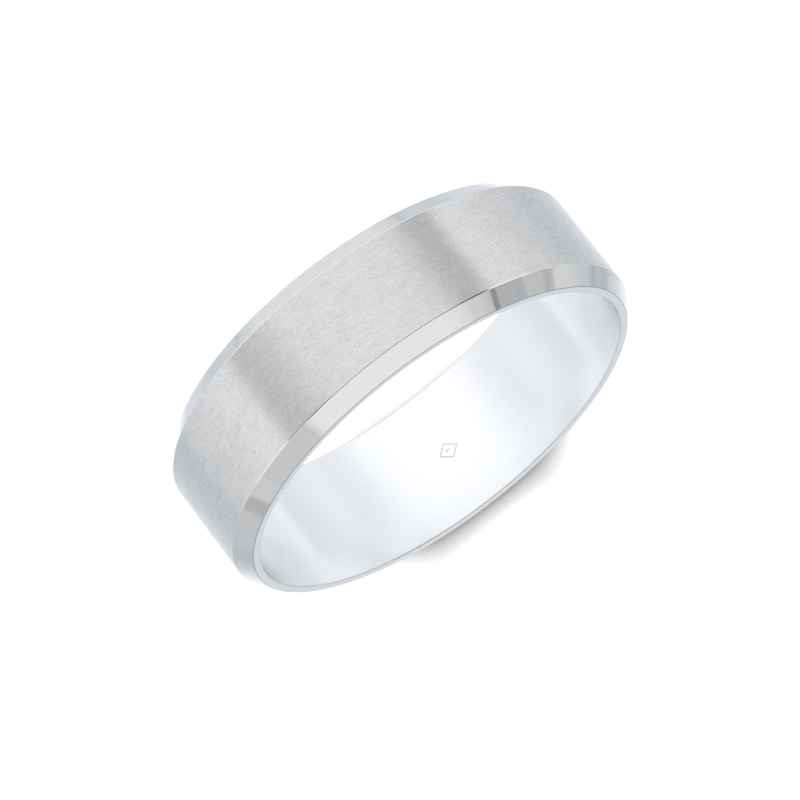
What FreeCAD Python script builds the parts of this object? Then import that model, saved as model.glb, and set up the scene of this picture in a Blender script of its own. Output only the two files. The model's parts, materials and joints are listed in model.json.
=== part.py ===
import FreeCAD, Part
import os
import Sketcher

# A one-piece wedding band: a flat centre face between two bevels, narrow flat side faces,
# and a plain bore whose two mouths are rounded.  The band stands on its outer face:
# +Y runs along the finger axis, +Z is up, and the origin is the centre of the ring.
# Lengths are millimetres.

SHEET_NAME = "Sizes"

DRIVING_DIMENSIONS = [
    # alias, value, what it is
    ("inner_diameter", 20.00, "bore across the finger, between US ring sizes 10 and 10.5"),
    ("wall", 1.00, "thickness from the bore to the centre face"),
    ("width", 6.50, "band width along the finger"),
    ("face_width", 4.85, "width of the flat centre face"),
    ("bevel_drop", 0.60, "how far each bevel falls towards the finger"),
    ("bore_round", 0.08, "rounding radius where the bore meets a side face"),
    ("mark_across", 1.10, "engraved lozenge, size around the ring"),
    ("mark_along", 0.90, "engraved lozenge, size along the finger"),
    ("mark_ratio", 0.80, "inner outline of the lozenge as a share of the outer one"),
    ("mark_dot", 0.22, "diameter of the dot inside the lozenge"),
    ("mark_depth", 0.06, "engraving depth at the bottom of the bore"),
    ("mark_headroom", 0.20, "height of the engraving sketch above the bore"),
]

BORE_RADIUS = "Sizes.inner_diameter / 2"
OUTER_RADIUS = "Sizes.inner_diameter / 2 + Sizes.wall"
SIDE_RADIUS = "Sizes.inner_diameter / 2 + Sizes.wall - Sizes.bevel_drop"

# The Sketcher's numbers for a sketch's own origin and axes, and for the points of a line or circle.
ORIGIN = (-1, 1)
H_AXIS = -1
V_AXIS = -2
START = 1
END = 2
CENTRE = 3


def make_sheet(doc):
    """Puts the driving dimensions in a spreadsheet, one alias a row."""
    sheet = doc.addObject("Spreadsheet::Sheet", SHEET_NAME)
    for row, (alias, value, meaning) in enumerate(DRIVING_DIMENSIONS, start=1):
        sheet.set("A%d" % row, alias)
        sheet.set("B%d" % row, str(value))
        sheet.setAlias("B%d" % row, alias)
        sheet.set("C%d" % row, meaning)
    doc.recompute()
    return sheet


def origin_plane(body, role):
    """The body's own origin plane with the given role."""
    for feature in body.Origin.OriginFeatures:
        if feature.Role == role:
            return feature
    raise ValueError("no origin plane " + role)


def sketch_on_plane(body, role, name):
    """An empty sketch on one of the body's origin planes."""
    sketch = body.newObject("Sketcher::SketchObject", name)
    sketch.AttachmentSupport = [(origin_plane(body, role), "")]
    sketch.MapMode = "FlatFace"
    return sketch


def closed_outline(sketch, corners):
    """Draws straight lines through the corners and joins them. Returns the lines' numbers."""
    lines = []
    for index, corner in enumerate(corners):
        following = corners[(index + 1) % len(corners)]
        start = FreeCAD.Vector(corner[0], corner[1], 0)
        end = FreeCAD.Vector(following[0], following[1], 0)
        lines.append(sketch.addGeometry(Part.LineSegment(start, end), False))
    for index, line in enumerate(lines):
        following = lines[(index + 1) % len(lines)]
        sketch.addConstraint(Sketcher.Constraint("Coincident", line, END, following, START))
    return lines


def dimension(sketch, kind, references, formula):
    """Adds a dimension and binds it to the sheet. The last reference is its starting value."""
    number = sketch.addConstraint(Sketcher.Constraint(kind, *references))
    sketch.setExpression("Constraints[%d]" % number, formula)


def draw_section(body, sheet):
    """The band's section: X is the distance from the finger axis, Y runs along the finger."""
    bore = sheet.inner_diameter / 2
    outer = bore + sheet.wall
    side = outer - sheet.bevel_drop
    half_width = sheet.width / 2
    half_face = sheet.face_width / 2
    corners = [
        (bore, -half_width),
        (side, -half_width),
        (outer, -half_face),
        (outer, half_face),
        (side, half_width),
        (bore, half_width),
    ]
    sketch = sketch_on_plane(body, "XY_Plane", "BandSection")
    front_side, front_bevel, face, back_bevel, back_side, wall = closed_outline(sketch, corners)
    sketch.addConstraint(Sketcher.Constraint("Horizontal", front_side))
    for low, high in ((front_side, wall), (front_bevel, back_side), (face, back_bevel)):
        sketch.addConstraint(Sketcher.Constraint("Symmetric", low, START, high, START, H_AXIS))
    dimension(sketch, "DistanceX", (*ORIGIN, front_side, START, bore), BORE_RADIUS)
    dimension(sketch, "DistanceX", (*ORIGIN, front_bevel, START, side), SIDE_RADIUS)
    dimension(sketch, "DistanceX", (*ORIGIN, face, START, outer), OUTER_RADIUS)
    dimension(sketch, "DistanceY", (wall, END, wall, START, sheet.width), "Sizes.width")
    dimension(sketch, "DistanceY", (face, START, face, END, sheet.face_width), "Sizes.face_width")
    return sketch


def turn_section(body, sketch):
    """Turns the section a full circle about the finger axis."""
    turned = body.newObject("PartDesign::Revolution", "TurnedBand")
    turned.Profile = sketch
    turned.ReferenceAxis = (sketch, ["V_Axis"])
    turned.Angle = 360
    sketch.Visibility = False
    return turned


def ring_edges(shape, radius):
    """Names of the circular edges of one radius that run around the finger axis."""
    names = []
    for number, edge in enumerate(shape.Edges, start=1):
        curve = edge.Curve
        if not isinstance(curve, Part.Circle):
            continue
        around_finger = abs(abs(curve.Axis.y) - 1) < 1e-6
        if around_finger and abs(curve.Radius - radius) < 1e-6:
            names.append("Edge%d" % number)
    return names


def round_mouths(body, base, bore):
    """Rounds both mouths of the bore, so that the band slides over a knuckle."""
    rounding = body.newObject("PartDesign::Fillet", "BoreMouths")
    rounding.Base = (base, ring_edges(base.Shape, bore))
    rounding.setExpression("Radius", "Sizes.bore_round")
    return rounding


def draw_lozenge(sketch, across, along, across_formula, along_formula):
    """A lozenge centred on the sketch, with its corners on the sketch axes."""
    corners = [(across / 2, 0), (0, along / 2), (-across / 2, 0), (0, -along / 2)]
    lines = closed_outline(sketch, corners)
    right, top, left, bottom = lines
    for line in (right, left):
        sketch.addConstraint(Sketcher.Constraint("PointOnObject", line, START, H_AXIS))
    for line in (top, bottom):
        sketch.addConstraint(Sketcher.Constraint("PointOnObject", line, START, V_AXIS))
    dimension(sketch, "DistanceX", (*ORIGIN, right, START, across / 2), across_formula + " / 2")
    dimension(sketch, "DistanceX", (left, START, *ORIGIN, across / 2), across_formula + " / 2")
    dimension(sketch, "DistanceY", (*ORIGIN, top, START, along / 2), along_formula + " / 2")
    dimension(sketch, "DistanceY", (bottom, START, *ORIGIN, along / 2), along_formula + " / 2")


def draw_mark(body, sheet):
    """The outline of a plain geometric mark: a lozenge line round a dot, at the bottom of the bore."""
    sketch = sketch_on_plane(body, "XY_Plane", "MarkOutline")
    sketch.setExpression("AttachmentOffset.Base.z", "Sizes.mark_headroom - " + BORE_RADIUS)
    ratio = sheet.mark_ratio
    draw_lozenge(sketch, sheet.mark_across, sheet.mark_along, "Sizes.mark_across", "Sizes.mark_along")
    draw_lozenge(sketch, sheet.mark_across * ratio, sheet.mark_along * ratio,
                 "Sizes.mark_across * Sizes.mark_ratio", "Sizes.mark_along * Sizes.mark_ratio")
    up = FreeCAD.Vector(0, 0, 1)
    dot = sketch.addGeometry(Part.Circle(FreeCAD.Vector(0, 0, 0), up, sheet.mark_dot / 2), False)
    sketch.addConstraint(Sketcher.Constraint("Coincident", dot, CENTRE, *ORIGIN))
    dimension(sketch, "Diameter", (dot, sheet.mark_dot), "Sizes.mark_dot")
    return sketch


def engrave_mark(body, sketch):
    """Sinks the mark into the lowest part of the bore."""
    engraving = body.newObject("PartDesign::Pocket", "EngravedMark")
    engraving.Profile = sketch
    engraving.setExpression("Length", "Sizes.mark_headroom + Sizes.mark_depth")
    sketch.Visibility = False
    return engraving


def make_band(doc, sheet):
    """The whole ring, one solid piece of metal."""
    body = doc.addObject("PartDesign::Body", "BandBody")
    body.Label = "band"
    turned = turn_section(body, draw_section(body, sheet))
    doc.recompute()
    mouths = round_mouths(body, turned, sheet.inner_diameter / 2)
    doc.recompute()
    engraving = engrave_mark(body, draw_mark(body, sheet))
    doc.recompute()
    if engraving.Shape.Volume >= mouths.Shape.Volume:
        raise RuntimeError("the engraving removed no metal")
    body.Tip = engraving
    body.Placement = FreeCAD.Placement()
    doc.recompute()
    return body


def check_document(doc, pieces):
    """Stops if any object failed to compute or any piece has no valid shape."""
    for item in doc.Objects:
        for state in item.State:
            if state in ("Invalid", "Error"):
                raise RuntimeError("%s is %s" % (item.Name, state))
    for piece in pieces:
        if piece.Shape.isNull() or not piece.Shape.isValid():
            raise RuntimeError("%s has no valid shape" % piece.Label)


def export_pieces(pieces):
    """Writes each piece to its own STEP file, named by its label."""
    os.makedirs("parts", exist_ok=True)
    for piece in pieces:
        piece.Shape.exportStep("parts/%s.step" % piece.Label)


def main():
    doc = FreeCAD.newDocument("WeddingBand")
    sheet = make_sheet(doc)
    pieces = [make_band(doc, sheet)]
    check_document(doc, pieces)
    export_pieces(pieces)


main()
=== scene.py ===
import json
import math

import bmesh
import bpy
from mathutils import Matrix, Vector


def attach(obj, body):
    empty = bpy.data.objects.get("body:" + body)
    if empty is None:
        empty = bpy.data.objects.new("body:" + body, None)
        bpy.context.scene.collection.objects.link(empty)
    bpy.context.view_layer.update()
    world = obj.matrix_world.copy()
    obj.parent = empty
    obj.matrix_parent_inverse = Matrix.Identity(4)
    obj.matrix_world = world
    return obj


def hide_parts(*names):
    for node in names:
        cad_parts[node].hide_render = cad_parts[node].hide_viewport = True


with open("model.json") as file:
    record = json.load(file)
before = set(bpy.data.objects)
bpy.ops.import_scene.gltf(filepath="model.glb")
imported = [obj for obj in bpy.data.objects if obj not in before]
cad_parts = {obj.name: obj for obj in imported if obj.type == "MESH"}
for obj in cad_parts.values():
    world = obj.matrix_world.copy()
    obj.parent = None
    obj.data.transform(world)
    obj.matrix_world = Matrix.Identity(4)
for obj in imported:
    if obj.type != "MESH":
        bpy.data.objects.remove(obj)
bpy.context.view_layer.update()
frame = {"nodes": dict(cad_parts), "record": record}

MM = 0.001

# ---------------------------------------------------------------------------------------------
# The band's sizes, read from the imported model
# ---------------------------------------------------------------------------------------------

SIZE_TOLERANCE = 0.002 * MM
DEEPEST_ENGRAVING = 1.02           # as a share of the bore radius; points further out are not engraving


def read_band_sizes():
    """The section and the mark, measured on the CAD band. Radii are from the finger axis (Y)."""
    bore_mount = next(m for m in frame["record"]["mounts"] if m["name"] == "finger_bore")
    bore = bore_mount["dims"]["r_mm"] * MM
    land = bore_mount["dims"]["length_mm"] * MM / 2
    points = [v.co for v in frame["nodes"]["band"].data.vertices]
    half_width = max(p.y for p in points)
    outer = max(math.hypot(p.x, p.z) for p in points)
    side_radii = [math.hypot(p.x, p.z) for p in points if p.y > half_width - SIZE_TOLERANCE]
    face_points = [p.y for p in points if math.hypot(p.x, p.z) > outer - SIZE_TOLERANCE]
    mark_points = [p for p in points if is_in_engraving(p, bore, land)]
    return {
        "bore": bore,
        "land": land,
        "half_width": half_width,
        "outer": outer,
        "side_inner": min(side_radii),
        "side_outer": max(side_radii),
        "half_face": max(face_points),
        "mark_half_across": max(p.x for p in mark_points),
        "mark_half_along": max(p.y for p in mark_points),
        "mark_depth": max(-p.z for p in mark_points) - bore,
    }


def is_in_engraving(point, bore, land):
    """True for a CAD point sunk below the bore's wall, between the two rounded mouths."""
    radius = math.hypot(point.x, point.z)
    return abs(point.y) < land / 2 and bore + SIZE_TOLERANCE < radius < bore * DEEPEST_ENGRAVING


sizes = read_band_sizes()

# ---------------------------------------------------------------------------------------------
# The band's mesh: a section turned about the finger axis, with the mark let into the bore
# ---------------------------------------------------------------------------------------------

COLUMNS = 720                      # steps round the ring
FACE_EDGE_SOFTNESS = 0.10 * MM     # polishing radius between the centre face and a bevel
SIDE_EDGE_SOFTNESS = 0.06 * MM     # polishing radius between a bevel and a side face
SUPPORT_GAP = 0.012 * MM           # keeps a rounding's shading off the flat beside it
ARC_STEPS = 8
MOUTH_STEPS = 14
MARK_MARGIN = 0.14 * MM            # plain bore kept round the mark inside its patch
ROWS_BESIDE_PATCH = 6              # strips of bore wall on each side of the patch

LOZENGE_LINE = 0.80                # inner outline of the lozenge as a share of the outer one
WALL_SLOPE = 0.03                  # how far each side of a cut leans in, as a share of the lozenge
LOZENGE_SUPPORT = 0.05             # plain wall kept beside the line, as a share of the lozenge
DOT_RADIUS = 0.11 * MM
DOT_FLOOR_RADIUS = 0.095 * MM
DOT_SUPPORT_RADIUS = 0.15 * MM     # plain wall kept round the dot

SATIN = "satin_face"
POLISH = "polished_bevels"
# roundings between a bevel and a side face: a darker copy of the metal, a painted dark reflection line
PAINTED_DARK_EDGE = "burnished_edges"
MOUTH = "rounded_mouths"
BORE = "polished_bore"
ENGRAVED = "engraved_mark"
SLOTS = [SATIN, POLISH, PAINTED_DARK_EDGE, MOUTH, BORE, ENGRAVED]


def section_corners():
    """Corners of the section from the front mouth outwards: radius, y, rounding, steps, zone after."""
    s = sizes
    mouth = s["side_inner"] - s["bore"]
    front = [
        (s["bore"], -s["half_width"], mouth, MOUTH_STEPS, POLISH),
        (s["side_outer"], -s["half_width"], SIDE_EDGE_SOFTNESS, ARC_STEPS, POLISH),
        (s["outer"], -s["half_face"], FACE_EDGE_SOFTNESS, ARC_STEPS, SATIN),
    ]
    back = [
        (s["outer"], s["half_face"], FACE_EDGE_SOFTNESS, ARC_STEPS, POLISH),
        (s["side_outer"], s["half_width"], SIDE_EDGE_SOFTNESS, ARC_STEPS, POLISH),
        (s["bore"], s["half_width"], mouth, MOUTH_STEPS, BORE),
    ]
    return front + back


def rounded_corner(before, corner, after, radius, steps):
    """Points of the arc that replaces a corner, from the side of `before` to the side of `after`."""
    to_before = (before - corner).normalized()
    to_after = (after - corner).normalized()
    half_angle = to_before.angle(to_after) / 2
    setback = radius / math.tan(half_angle)
    centre = corner + (to_before + to_after).normalized() * (radius / math.sin(half_angle))
    start = corner + to_before * setback - centre
    end = corner + to_after * setback - centre
    turn = start.angle_signed(end)
    points = []
    for step in range(steps + 1):
        share = turn * step / steps
        turned = Vector((start.x * math.cos(share) + start.y * math.sin(share),
                         start.y * math.cos(share) - start.x * math.sin(share)))
        points.append(centre + turned)
    return points


def rounding_zone(zone_before, zone_after):
    """The zone of the rounding between two zones of the section."""
    if BORE in (zone_before, zone_after):
        return MOUTH
    if SATIN in (zone_before, zone_after):
        return POLISH
    return PAINTED_DARK_EDGE


def section_outline():
    """The section as a closed list of (radius, y, zone of the strip that follows)."""
    corners = section_corners()
    places = [Vector(c[:2]) for c in corners]
    outline = []
    for index, (_, _, radius, steps, zone_after) in enumerate(corners):
        before = places[index - 1]
        after = places[(index + 1) % len(places)]
        arc = rounded_corner(before, places[index], after, radius, steps)
        zone_before = corners[index - 1][4]
        arc_zone = rounding_zone(zone_before, zone_after)
        along_in = (arc[0] - before).normalized()
        along_out = (after - arc[-1]).normalized()
        outline.append((*(arc[0] - along_in * SUPPORT_GAP), zone_before))
        outline.extend((*point, arc_zone) for point in arc[:-1])
        outline.append((*arc[-1], zone_after))
        outline.append((*(arc[-1] + along_out * SUPPORT_GAP), zone_after))
    return outline


def bore_rows(patch_half_along, patch_rows):
    """Heights (y) of the rows across the bore wall, from back to front, close together at the mark."""
    inner = [patch_half_along * (1 - 2 * row / patch_rows) for row in range(patch_rows + 1)]
    land = sizes["land"]
    step = (land - patch_half_along) / ROWS_BESIDE_PATCH
    back = [land - step * row for row in range(1, ROWS_BESIDE_PATCH)]
    front = [-y for y in reversed(back)]
    return back + inner + front


def ring_point(radius, y, angle):
    """A point at an angle from the top of the ring, turning towards +X."""
    return Vector((radius * math.sin(angle), y, radius * math.cos(angle)))


def build_band_mesh():
    """The whole band as one closed mesh."""
    column_width = 2 * math.pi / COLUMNS * sizes["bore"]
    half_columns = math.ceil((sizes["mark_half_across"] + MARK_MARGIN) / column_width)
    patch_rows = 2 * math.ceil((sizes["mark_half_along"] + MARK_MARGIN) / column_width)
    patch_half_along = patch_rows / 2 * column_width
    outline = section_outline()
    outline.extend((sizes["bore"], y, BORE) for y in bore_rows(patch_half_along, patch_rows))
    first_row = next(
        i for i, (r, y, _) in enumerate(outline) if r == sizes["bore"] and y == patch_half_along)
    last_row = first_row + patch_rows
    bottom = COLUMNS // 2
    patch_columns = range(bottom - half_columns, bottom + half_columns)

    bm = bmesh.new()
    slots = {name: number for number, name in enumerate(SLOTS)}
    rings = turn_outline(bm, outline)
    skin_rings(bm, rings, outline, slots, range(first_row, last_row), patch_columns)
    border = patch_border(rings, first_row, last_row, bottom, half_columns)
    fill_patch_with_mark(bm, border, slots)
    return finished_mesh(bm, "band_surface")


def turn_outline(bm, outline):
    """A ring of vertices round the finger axis for each point of the section."""
    column_angle = 2 * math.pi / COLUMNS
    rings = []
    for radius, y, _ in outline:
        ring = [bm.verts.new(ring_point(radius, y, column * column_angle)) for column in range(COLUMNS)]
        rings.append(ring)
    return rings


def skin_rings(bm, rings, outline, slots, patch_rows, patch_columns):
    """Strips of faces between the rings, with a hole left for the patch."""
    for row, (_, _, zone) in enumerate(outline):
        here = rings[row]
        there = rings[(row + 1) % len(rings)]
        for column in range(COLUMNS):
            if row in patch_rows and column in patch_columns:
                continue
            beside = (column + 1) % COLUMNS
            face = bm.faces.new((here[column], there[column], there[beside], here[beside]))
            face.material_index = slots[zone]


def finished_mesh(bm, name):
    """Clears unused vertices, turns every face outwards and smooth, and makes the mesh."""
    loose = [v for v in bm.verts if not v.link_faces]
    bmesh.ops.delete(bm, geom=loose, context="VERTS")
    bmesh.ops.recalc_face_normals(bm, faces=bm.faces)
    for face in bm.faces:
        face.smooth = True
    mesh = bpy.data.meshes.new(name)
    bm.to_mesh(mesh)
    bm.free()
    return mesh


def patch_border(rings, first_row, last_row, bottom, half_columns):
    """The vertices on the patch's border, in order round it."""
    left = bottom - half_columns
    right = bottom + half_columns
    border = [rings[first_row][column] for column in range(left, right)]
    border += [rings[row][right] for row in range(first_row, last_row)]
    border += [rings[last_row][column] for column in range(right, left, -1)]
    border += [rings[row][left] for row in range(last_row, first_row, -1)]
    return border


def wall_place(vertex):
    """Where a bore vertex lies on the unrolled wall, measured from the mark's centre."""
    across = math.atan2(-vertex.co.x, -vertex.co.z) * sizes["bore"]
    return Vector((across, vertex.co.y))


def wall_vertex(bm, place, depth):
    """A new vertex at a place on the unrolled wall, sunk into the metal by depth."""
    angle = math.pi + place.x / sizes["bore"]
    return bm.verts.new(ring_point(sizes["bore"] + depth, place.y, angle))


def fill_patch_with_mark(bm, border, slots):
    """Fills the patch with rings of faces that follow the lozenge line, then the dot."""
    depth = sizes["mark_depth"]
    lozenge_rings = [
        # share of the lozenge, depth, slot of the faces outside this ring, crisp
        (1.0 + LOZENGE_SUPPORT, 0, BORE, False),
        (1.0, 0, BORE, True),
        (1.0 - WALL_SLOPE, depth, ENGRAVED, True),
        (LOZENGE_LINE + WALL_SLOPE, depth, ENGRAVED, True),
        (LOZENGE_LINE, 0, ENGRAVED, True),
        (LOZENGE_LINE - LOZENGE_SUPPORT, 0, BORE, False),
    ]
    dot_rings = [
        # radius, depth, slot of the faces outside this ring, crisp
        (DOT_SUPPORT_RADIUS, 0, BORE, False),
        (DOT_RADIUS, 0, BORE, True),
        (DOT_FLOOR_RADIUS, depth, ENGRAVED, True),
    ]
    places = [wall_place(vertex) for vertex in border]
    outside = border
    for share, sink, slot, crisp in lozenge_rings:
        ring = []
        for place in places:
            reach = (abs(place.x) / sizes["mark_half_across"]
                     + abs(place.y) / sizes["mark_half_along"])
            ring.append(wall_vertex(bm, place * (share / reach), sink))
        join_rings(bm, outside, ring, slots[slot])
        mark_crisp(bm, ring, crisp)
        outside = ring
    for radius, sink, slot, crisp in dot_rings:
        ring = [wall_vertex(bm, place.normalized() * radius, sink) for place in places]
        join_rings(bm, outside, ring, slots[slot])
        mark_crisp(bm, ring, crisp)
        outside = ring
    centre = wall_vertex(bm, Vector((0, 0)), depth)
    for index, vertex in enumerate(outside):
        face = bm.faces.new((vertex, outside[(index + 1) % len(outside)], centre))
        face.material_index = slots[ENGRAVED]


def join_rings(bm, outside, inside, slot):
    """A strip of faces between two rings of the same number of vertices."""
    for index in range(len(outside)):
        beside = (index + 1) % len(outside)
        face = bm.faces.new((outside[index], outside[beside], inside[beside], inside[index]))
        face.material_index = slot


def mark_crisp(bm, ring, crisp):
    """Makes a ring's edges shade as a sharp line."""
    if not crisp:
        return
    for index, vertex in enumerate(ring):
        edge = bm.edges.get((vertex, ring[(index + 1) % len(ring)]))
        edge.smooth = False


# ---------------------------------------------------------------------------------------------
# Materials
# ---------------------------------------------------------------------------------------------

WHITE_METAL = (0.80, 0.80, 0.795, 1.0)
SATIN_METAL = (0.74, 0.74, 0.74, 1.0)
BORE_METAL = (0.87, 0.883, 0.90, 1.0)
# a darker copy of the white metal, for painted shade: the dark reflection line along the side edges
PAINTED_DARK_EDGE_METAL = (0.54, 0.54, 0.55, 1.0)
ENGRAVED_METAL = (0.96, 0.96, 0.97, 1.0)

# Kinds of streak: how long and wide one is, how far it sways sideways and how often round the ring.
FINE_SCRATCHES = {"length": 0.12 * MM, "width": 0.045 * MM, "sway": 0.10 * MM, "bends": 11}
CROSSING_SCRATCHES = {"length": 0.45 * MM, "width": 0.060 * MM, "sway": -0.16 * MM, "bends": 9}
LONG_SCRATCHES = {"length": 1.3 * MM, "width": 0.065 * MM, "sway": 0.22 * MM, "bends": 5, "detail": 1.0}
CLOUDS = {"length": 0.9 * MM, "width": 0.45 * MM}
HAIRLINES = {"length": 1.4 * MM, "width": 0.05 * MM, "sway": 0.3 * MM, "bends": 7}
POLISHING_WAVES = {"length": 1.6 * MM, "width": 1.1 * MM, "detail": 1.0}
ENGRAVING_GRAIN = {"length": 0.05 * MM, "width": 0.05 * MM}

NOISE_ROUGHNESS = 0.6              # how much of the noise's finer detail shows
SATIN_ANISOTROPY = 0.95
SATIN_TURN = 0.25                  # a quarter turn: reflections spread along the finger, not round it
FINE_TONE = 0.60                   # how far each kind of mark lightens or darkens the satin metal
CROSSING_TONE = 0.42
CLOUD_TONE = 0.16
LONG_TONE = 0.10
LONG_SCRATCH_FROM = 0.60           # noise value where a long scratch begins, and where it is full
LONG_SCRATCH_FULL = 0.74
SATIN_ROUGHNESS = 0.24
SATIN_ROUGHNESS_SPREAD = 0.12
SATIN_SCRATCH_DEPTH = 0.002 * MM
ENGRAVED_ROUGHNESS = 0.25
ENGRAVED_ROUGHNESS_SPREAD = 0.2


def new_material(name):
    """A bare white metal, ready for more nodes: the material, its node tree and its shader."""
    material = bpy.data.materials.new(name)
    material.use_nodes = True
    tree = material.node_tree
    tree.nodes.clear()
    output = tree.nodes.new("ShaderNodeOutputMaterial")
    shader = tree.nodes.new("ShaderNodeBsdfPrincipled")
    tree.links.new(shader.outputs["BSDF"], output.inputs["Surface"])
    shader.inputs["Base Color"].default_value = WHITE_METAL
    shader.inputs["Metallic"].default_value = 1.0
    return material, tree, shader


def add_math(tree, operation, first, second=None, third=None):
    """A math node fed by sockets or plain numbers. Returns its output."""
    node = tree.nodes.new("ShaderNodeMath")
    node.operation = operation
    for slot, value in enumerate((first, second, third)):
        if value is None:
            continue
        if isinstance(value, (int, float)):
            node.inputs[slot].default_value = value
        else:
            tree.links.new(value, node.inputs[slot])
    return node.outputs[0]


def streak_place(tree, length, width, sway, bends):
    """Noise coordinates drawn out round the ring into streaks, which wander sideways by sway."""
    place = tree.nodes.new("ShaderNodeTexCoord").outputs["Object"]
    split = tree.nodes.new("ShaderNodeSeparateXYZ")
    tree.links.new(place, split.inputs[0])
    across, along, up = split.outputs
    turn = add_math(tree, "ARCTAN2", across, up)
    wander = add_math(tree, "SINE", add_math(tree, "MULTIPLY", turn, bends))
    swayed = add_math(tree, "MULTIPLY_ADD", wander, sway, along)
    join = tree.nodes.new("ShaderNodeCombineXYZ")
    tree.links.new(add_math(tree, "DIVIDE", across, length), join.inputs[0])
    tree.links.new(add_math(tree, "DIVIDE", swayed, width), join.inputs[1])
    tree.links.new(add_math(tree, "DIVIDE", up, length), join.inputs[2])
    return join.outputs[0]


def noise(tree, place, detail):
    """A noise value about 0.5 at a place given in noise coordinates."""
    node = tree.nodes.new("ShaderNodeTexNoise")
    node.inputs["Scale"].default_value = 1.0
    node.inputs["Detail"].default_value = detail
    node.inputs["Roughness"].default_value = NOISE_ROUGHNESS
    tree.links.new(place, node.inputs["Vector"])
    return node.outputs["Fac"]


def streaks(tree, length, width, sway=0.0, bends=0, detail=2.0):
    """Noise drawn out into one kind of streak round the ring."""
    return noise(tree, streak_place(tree, length, width, sway, bends), detail)


def shade(tree, metal, share):
    """The metal's colour made darker or lighter by a share about 1."""
    node = tree.nodes.new("ShaderNodeVectorMath")
    node.operation = "SCALE"
    node.inputs[0].default_value = metal[:3]
    tree.links.new(share, node.inputs["Scale"])
    return node.outputs[0]


def add_bump(tree, shader, height, distance):
    """Lets a height between 0 and 1 tilt the surface, as if it were distance deep."""
    bump = tree.nodes.new("ShaderNodeBump")
    bump.inputs["Strength"].default_value = 1.0
    bump.inputs["Distance"].default_value = distance
    tree.links.new(height, bump.inputs["Height"])
    tree.links.new(bump.outputs["Normal"], shader.inputs["Normal"])


def satin_material():
    """Satin metal: fine short scratches round the ring that spread the reflections along the finger."""
    material, tree, shader = new_material(SATIN)
    shader.inputs["Anisotropic"].default_value = SATIN_ANISOTROPY
    shader.inputs["Anisotropic Rotation"].default_value = SATIN_TURN
    tangent = tree.nodes.new("ShaderNodeTangent")
    tangent.direction_type = "RADIAL"
    tangent.axis = "Y"
    tree.links.new(tangent.outputs["Tangent"], shader.inputs["Tangent"])
    fine = streaks(tree, **FINE_SCRATCHES)
    crossing = streaks(tree, **CROSSING_SCRATCHES)
    long_marks = streaks(tree, **LONG_SCRATCHES)
    cloud = streaks(tree, **CLOUDS)
    scratch = smooth_step(tree, long_marks, LONG_SCRATCH_FROM, LONG_SCRATCH_FULL)
    unmarked = 1.0 - (FINE_TONE + CROSSING_TONE + CLOUD_TONE) / 2
    tone = add_math(tree, "MULTIPLY_ADD", fine, FINE_TONE, unmarked)
    tone = add_math(tree, "MULTIPLY_ADD", crossing, CROSSING_TONE, tone)
    tone = add_math(tree, "MULTIPLY_ADD", cloud, CLOUD_TONE, tone)
    tone = add_math(tree, "MULTIPLY_ADD", scratch, -LONG_TONE, tone)
    tree.links.new(shade(tree, SATIN_METAL, tone), shader.inputs["Base Color"])
    spread = add_math(tree, "MULTIPLY_ADD", crossing, SATIN_ROUGHNESS_SPREAD, SATIN_ROUGHNESS)
    tree.links.new(spread, shader.inputs["Roughness"])
    add_bump(tree, shader, add_math(tree, "ADD", fine, crossing), SATIN_SCRATCH_DEPTH)
    return material


def polished_material(name, metal, roughness, hairline_tone, wave_depth):
    """Polished metal with the faint waviness and hairlines of hand polishing."""
    material, tree, shader = new_material(name)
    waves = streaks(tree, **POLISHING_WAVES)
    hairlines = streaks(tree, **HAIRLINES)
    tone = add_math(tree, "MULTIPLY_ADD", hairlines, hairline_tone, 1.0 - hairline_tone / 2)
    tree.links.new(shade(tree, metal, tone), shader.inputs["Base Color"])
    # the hairlines make the roughness a quarter less or more than its mean
    worn = add_math(tree, "MULTIPLY_ADD", hairlines, roughness / 2, roughness * 3 / 4)
    tree.links.new(worn, shader.inputs["Roughness"])
    add_bump(tree, shader, waves, wave_depth)
    return material


def engraved_material():
    """The rougher, paler floor and walls of an engraved line."""
    material, tree, shader = new_material(ENGRAVED)
    shader.inputs["Base Color"].default_value = ENGRAVED_METAL
    grain = streaks(tree, **ENGRAVING_GRAIN)
    spread = add_math(tree, "MULTIPLY_ADD", grain, ENGRAVED_ROUGHNESS_SPREAD, ENGRAVED_ROUGHNESS)
    tree.links.new(spread, shader.inputs["Roughness"])
    return material


def band_finishes():
    """The material of every slot."""
    finishes = {SATIN: satin_material()}
    polished = [
        # slot, metal, roughness, how far hairlines change the tone, depth of the polishing waves
        (POLISH, WHITE_METAL, 0.04, 0.05, 0.006 * MM),
        # the side-edge roundings: darker metal that paints a dark reflection line
        (PAINTED_DARK_EDGE, PAINTED_DARK_EDGE_METAL, 0.12, 0.05, 0.002 * MM),
        (MOUTH, WHITE_METAL, 0.40, 0.05, 0.002 * MM),
        (BORE, BORE_METAL, 0.21, 0.015, 0.002 * MM),
    ]
    for slot, *finish in polished:
        finishes[slot] = polished_material(slot, *finish)
    finishes[ENGRAVED] = engraved_material()
    return finishes


def make_band():
    """The visible band, in place of the CAD solid."""
    band = bpy.data.objects.new("band_visual", build_band_mesh())
    bpy.context.scene.collection.objects.link(band)
    finishes = band_finishes()
    for name in SLOTS:
        band.data.materials.append(finishes[name])
    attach(band, "root")
    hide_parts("band")


# ---------------------------------------------------------------------------------------------
# Studio: floor, light and camera
# ---------------------------------------------------------------------------------------------

# The studio is a white tent. What the metal mirrors is described by two numbers for each
# direction: the angle round the finger axis in degrees, counted from straight up (+ towards +X),
# and the share of the direction that points along the finger axis (+Y is away from the camera).

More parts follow.
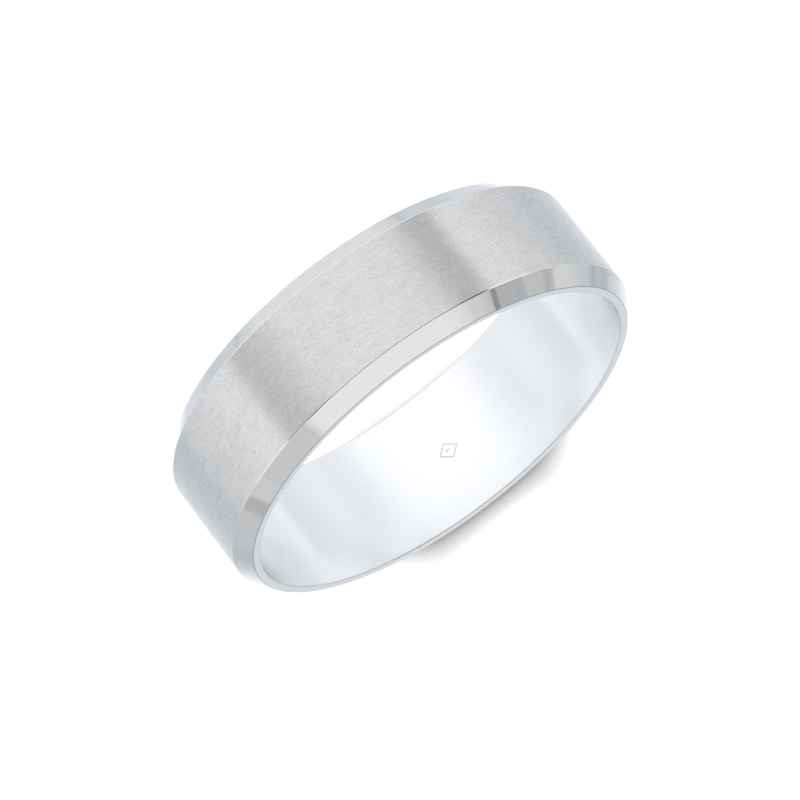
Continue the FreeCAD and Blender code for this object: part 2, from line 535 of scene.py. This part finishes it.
FLOOR_HALF_SIZE = 2.0              # metres, far beyond the picture
FLOOR_LIGHT = 2.0                  # tent light on the floor; it washes out all but the contact shadow
CONTACT_SHADOW_REACH = 2.8 * MM
CONTACT_SHADOW_POWER = 1.5         # of the floor's openness to light: higher is darker
CONTACT_SHADOW_SAMPLES = 4
CONTACT_FADE_FROM = 2.6 * MM       # sideways from the ring's foot, where the shadow starts to fade
CONTACT_FADE_TO = 6.8 * MM
PAPER_WHITE = 0.9
FLOOR_GLOW = 0.15                  # light that comes through the floor, so that no shadow is black
TENT_GREY = 0.62                   # the tent's front, where no panel covers it
TENT_FRONT_BLEND = 0.03            # half the soft border between front and back, as a share along
ROOF_AT_HORIZON = 0.86             # the roof and back, rising towards the zenith
ROOF_RISE = 0.36
HORIZON_TINT = (0.958, 0.979, 1.0, 1.0)
FLOOR_BLUE = (0.86, 0.93, 1.0, 1.0)
WHITE = (1.0, 1.0, 1.0, 1.0)

# The floor as the metal mirrors it: (millimetres from the ring's centre, brightness, blueness).
# Behind the ring the tones follow ellipses, because there the distance along the axis counts for less.
FLOOR_BEHIND = [(0, 0.95, 0.3), (8, 0.97, 0.3), (12.5, 1.19, 0.2), (15, 1.17, 0.4), (17, 0.99, 0.6),
                (18.5, 0.90, 0.85), (22, 0.88, 0.8), (28, 0.78, 0.8), (35, 0.79, 0.5), (39.5, 0.78, 0.5),
                (41.5, 0.66, 0.5), (43.5, 0.80, 0.5), (48, 0.83, 0.5), (54, 0.89, 0.35), (60, 0.90, 0.3),
                (150, 0.91, 0.3)]
FLOOR_FRONT_LEFT = [(0, 0.88, 0.1), (5, 0.88, 0.15), (9, 0.90, 0.8), (13, 0.88, 0.8), (18.8, 0.70, 1.0),
                    (21, 0.63, 0.9), (24, 0.65, 0.6), (27, 0.69, 0.5), (33, 0.68, 0.4), (57, 0.66, 0.1),
                    (64, 0.55, 0.1), (90, 0.54, 0.1), (120, 0.72, 0.0)]
FLOOR_FRONT_RIGHT = [(0, 0.88, 0.1), (5, 0.88, 0.15), (9, 0.90, 0.8), (13, 0.88, 0.8), (18.8, 0.80, 0.9),
                     (22, 0.62, 0.8), (25.7, 0.66, 0.7), (27.7, 0.57, 0.5), (31, 0.71, 0.4), (50, 0.78, 0.1),
                     (66, 0.80, 0.1), (76, 0.60, 0.0), (96, 0.53, 0.0), (130, 0.64, 0.0)]
FLOOR_RAMP_REACH = 150 * MM        # further out, the floor keeps its last tone
ALONG_SHARE_BEHIND = 0.42          # how much the distance along the finger axis counts behind the ring
LEFT_RIGHT_BLEND = 2 * MM          # half the soft border between the left and right tones
FRONT_TONES_TO = -6 * MM           # along the finger axis, where the tones behind the ring start
BEHIND_TONES_FROM = 4 * MM         # and where they are full


def tent_panels():
    """Panels and gaps, each over those before it."""
    return [
        # angle from, to, soft border at each; share along from, to, soft border; brightness
        (-51, 62, 3, 3, -0.50, -0.06, 0.03, 0.05),             # slit that the camera looks through
        (-120, -54, 2, 6, -1.20, -0.48, 0.04, 0.70),           # front left
        (58, 120, 2, 2, -1.20, -0.48, 0.04, 0.55),             # front right
        (-88, -57.5, 16, 1.5, -0.50, 0.30, 0.04, 1.12),        # left side panel
        (62, 88, 1.5, 16, -0.50, 0.30, 0.04, 1.12),            # right side panel
        (-57.5, -36, 1.5, 14, -0.66, 0.28, 0.05, 0.08),        # gap between roof and left side panel
        (44, 62, 9, 1.5, -0.66, 0.28, 0.05, 0.08),             # gap between roof and right side panel
        (-60, -44, 1.5, 1.5, -0.66, -0.20, 0.03, 0.90),        # flap over the front of the left gap
        (-54, 64, 6, 25, -1.20, -0.625, 0.015, 0.98),          # front panel, fading to the right
        (71.8, 75.0, 0.5, 0.6, -0.71, -0.595, 0.015, 0.35),    # its stand
        (83, 85, 0.7, 0.7, -0.71, -0.46, 0.02, 0.57),          # thin light edge beside the stand
    ]


def smooth_step(tree, value, low, high):
    """0 below low, 1 above high, smooth between."""
    node = tree.nodes.new("ShaderNodeMapRange")
    node.interpolation_type = "SMOOTHSTEP"
    tree.links.new(value, node.inputs["Value"])
    node.inputs["From Min"].default_value = low
    node.inputs["From Max"].default_value = high
    return node.outputs["Result"]


def between(tree, value, low, high, soft_low, soft_high):
    """1 between low and high, falling to 0 over soft borders."""
    above = smooth_step(tree, value, low - soft_low, low + soft_low)
    beyond = smooth_step(tree, value, high - soft_high, high + soft_high)
    return add_math(tree, "SUBTRACT", above, beyond)


def blend(tree, share, first, second):
    """first where share is 0 and second where it is 1, for numbers."""
    step = add_math(tree, "SUBTRACT", second, first)
    return add_math(tree, "MULTIPLY_ADD", share, step, first)


def floor_tone(tree, distance, stops):
    """The mirrored floor's colour by distance, following stops of (millimetres, brightness, blueness)."""
    node = tree.nodes.new("ShaderNodeValToRGB")
    node.color_ramp.interpolation = "EASE"
    elements = node.color_ramp.elements
    while len(elements) < len(stops):
        elements.new(1.0)
    for element, (stop, brightness, blueness) in zip(elements, stops):
        element.position = stop * MM / FLOOR_RAMP_REACH
        tint = [white + (blue - white) * blueness for white, blue in zip(WHITE, FLOOR_BLUE)]
        element.color = [brightness * part for part in tint]
    tree.links.new(add_math(tree, "DIVIDE", distance, FLOOR_RAMP_REACH), node.inputs["Fac"])
    return node.outputs["Color"]


def blend_colours(tree, share, first, second):
    """first where share is 0 and second where it is 1, for colours."""
    node = tree.nodes.new("ShaderNodeMix")
    node.data_type = "RGBA"
    tree.links.new(share, node.inputs["Factor"])
    for name, colour in (("A", first), ("B", second)):
        socket = next(i for i in node.inputs if i.name == name and i.type == "RGBA")
        if isinstance(colour, tuple):
            socket.default_value = colour
        else:
            tree.links.new(colour, socket)
    return next(o for o in node.outputs if o.type == "RGBA")


def mirrored_only(tree, seen, mirrored, output):
    """Joins two shaders: one for the camera and for soft light, one for what the metal mirrors."""
    path = tree.nodes.new("ShaderNodeLightPath")
    mix = tree.nodes.new("ShaderNodeMixShader")
    tree.links.new(path.outputs["Is Glossy Ray"], mix.inputs["Fac"])
    tree.links.new(seen, mix.inputs[1])
    tree.links.new(mirrored, mix.inputs[2])
    tree.links.new(mix.outputs["Shader"], output)


def make_world():
    """The tent: even white light for the floor, and panels for the metal to mirror."""
    world = bpy.data.worlds.new("studio_tent")
    world.use_nodes = True
    world.cycles.sampling_method = "NONE"
    tree = world.node_tree
    tree.nodes.clear()
    output = tree.nodes.new("ShaderNodeOutputWorld")
    ray = tree.nodes.new("ShaderNodeTexCoord").outputs["Generated"]
    split = tree.nodes.new("ShaderNodeSeparateXYZ")
    tree.links.new(ray, split.inputs[0])
    across, along, up = split.outputs
    angle = add_math(tree, "DEGREES", add_math(tree, "ARCTAN2", across, up))
    height = add_math(tree, "MAXIMUM", up, 0.0)
    roof = add_math(tree, "MULTIPLY_ADD", height, ROOF_RISE, ROOF_AT_HORIZON)
    tone = blend(tree, smooth_step(tree, along, -TENT_FRONT_BLEND, TENT_FRONT_BLEND), TENT_GREY, roof)
    for low, high, soft_low, soft_high, near, far, soft_along, brightness in tent_panels():
        inside_angle = between(tree, angle, low, high, soft_low, soft_high)
        inside_along = between(tree, along, near, far, soft_along, soft_along)
        inside = add_math(tree, "MULTIPLY", inside_angle, inside_along)
        tone = blend(tree, inside, tone, brightness)
    mirrored = tree.nodes.new("ShaderNodeBackground")
    tree.links.new(tone, mirrored.inputs["Strength"])
    tree.links.new(blend_colours(tree, height, HORIZON_TINT, WHITE), mirrored.inputs["Color"])
    seen = tree.nodes.new("ShaderNodeBackground")
    seen.inputs["Color"].default_value = WHITE
    seen.inputs["Strength"].default_value = FLOOR_LIGHT
    mirrored_only(tree, seen.outputs[0], mirrored.outputs[0], output.inputs["Surface"])
    bpy.context.scene.world = world


def paper_tone(tree, across):
    """The paper's white, darker where the ring's foot keeps the light out."""
    contact = tree.nodes.new("ShaderNodeAmbientOcclusion")
    contact.samples = CONTACT_SHADOW_SAMPLES
    contact.inputs["Distance"].default_value = CONTACT_SHADOW_REACH
    open_share = add_math(tree, "POWER", contact.outputs["AO"], CONTACT_SHADOW_POWER)
    sideways = add_math(tree, "ABSOLUTE", across)
    faded = smooth_step(tree, sideways, CONTACT_FADE_FROM, CONTACT_FADE_TO)
    return add_math(tree, "MULTIPLY", blend(tree, faded, open_share, 1.0), PAPER_WHITE)


def floor_material():
    """White paper with a soft contact shadow, and an uneven brightness that only the metal mirrors."""
    material = bpy.data.materials.new("floor")
    material.use_nodes = True
    material.cycles.emission_sampling = "NONE"
    tree = material.node_tree
    tree.nodes.clear()
    output = tree.nodes.new("ShaderNodeOutputMaterial")
    place = tree.nodes.new("ShaderNodeTexCoord").outputs["Object"]
    split = tree.nodes.new("ShaderNodeSeparateXYZ")
    tree.links.new(place, split.inputs[0])
    across, along, _ = split.outputs
    mirrored = tree.nodes.new("ShaderNodeEmission")
    tree.links.new(mirrored_floor_tone(tree, across, along), mirrored.inputs["Color"])
    mirrored_only(tree, lit_paper(tree, across), mirrored.outputs[0], output.inputs["Surface"])
    return material


def lit_paper(tree, across):
    """The floor as the camera sees it: paper with a little light coming through."""
    paper = tree.nodes.new("ShaderNodeBsdfDiffuse")
    tree.links.new(paper_tone(tree, across), paper.inputs["Color"])
    glow = tree.nodes.new("ShaderNodeEmission")
    glow.inputs["Strength"].default_value = FLOOR_GLOW
    both = tree.nodes.new("ShaderNodeAddShader")
    tree.links.new(paper.outputs[0], both.inputs[0])
    tree.links.new(glow.outputs[0], both.inputs[1])
    return both.outputs[0]


def mirrored_floor_tone(tree, across, along):
    """The floor's colour as the metal mirrors it: left front, right front and behind the ring."""
    distance = length_of(tree, across, along)
    along_behind = add_math(tree, "MULTIPLY", along, ALONG_SHARE_BEHIND)
    distance_behind = length_of(tree, across, along_behind)
    behind = floor_tone(tree, distance_behind, FLOOR_BEHIND)
    left = floor_tone(tree, distance, FLOOR_FRONT_LEFT)
    right = floor_tone(tree, distance, FLOOR_FRONT_RIGHT)
    rightness = smooth_step(tree, across, -LEFT_RIGHT_BLEND, LEFT_RIGHT_BLEND)
    in_front = blend_colours(tree, rightness, left, right)
    depth = smooth_step(tree, along, FRONT_TONES_TO, BEHIND_TONES_FROM)
    return blend_colours(tree, depth, in_front, behind)


def length_of(tree, first, second):
    """The length of a flat vector, from its two parts."""
    squares = add_math(tree, "MULTIPLY_ADD", first, first, add_math(tree, "MULTIPLY", second, second))
    return add_math(tree, "SQRT", squares)


def make_floor():
    """A plain pale floor that the ring stands on."""
    half = FLOOR_HALF_SIZE
    height = -sizes["outer"]
    mesh = bpy.data.meshes.new("floor")
    corners = [(-half, -half, height), (half, -half, height), (half, half, height), (-half, half, height)]
    mesh.from_pydata(corners, [], [(0, 1, 2, 3)])
    floor = bpy.data.objects.new("floor", mesh)
    bpy.context.scene.collection.objects.link(floor)
    mesh.materials.append(floor_material())


CAMERA_ELEVATION = math.radians(68.65)
CAMERA_ROLL = math.radians(37.55)
CAMERA_DISTANCE = 24.67 * sizes["outer"]
FRAME_WIDTH = 3.335 * sizes["outer"]        # what the picture shows across, at the ring's centre
SENSOR_WIDTH = 36.0                         # millimetres, a full-frame camera
RING_RIGHT_OF_CENTRE = 0.087 * MM
RING_ABOVE_CENTRE = 0.481 * MM
CLIP_START = 0.1 * CAMERA_DISTANCE
CLIP_END = 20 * CAMERA_DISTANCE


def make_camera():
    """A long lens looking down on the ring from the front, rolled so that the ring leans right."""
    back = Vector((0, -math.cos(CAMERA_ELEVATION), math.sin(CAMERA_ELEVATION)))
    level = Vector((1, 0, 0))
    upright = back.cross(level)
    right = level * math.cos(CAMERA_ROLL) - upright * math.sin(CAMERA_ROLL)
    up = level * math.sin(CAMERA_ROLL) + upright * math.cos(CAMERA_ROLL)
    place = back * CAMERA_DISTANCE - right * RING_RIGHT_OF_CENTRE - up * RING_ABOVE_CENTRE
    data = bpy.data.cameras.new("camera")
    data.sensor_width = SENSOR_WIDTH
    data.lens = SENSOR_WIDTH * CAMERA_DISTANCE / FRAME_WIDTH
    data.clip_start = CLIP_START
    data.clip_end = CLIP_END
    camera = bpy.data.objects.new("camera", data)
    axes = Matrix((right, up, back)).transposed()
    camera.matrix_world = Matrix.Translation(place) @ axes.to_4x4()
    bpy.context.scene.collection.objects.link(camera)
    bpy.context.scene.camera = camera


make_band()
make_floor()
make_world()
make_camera()
bpy.context.scene.view_settings.view_transform = "Standard"
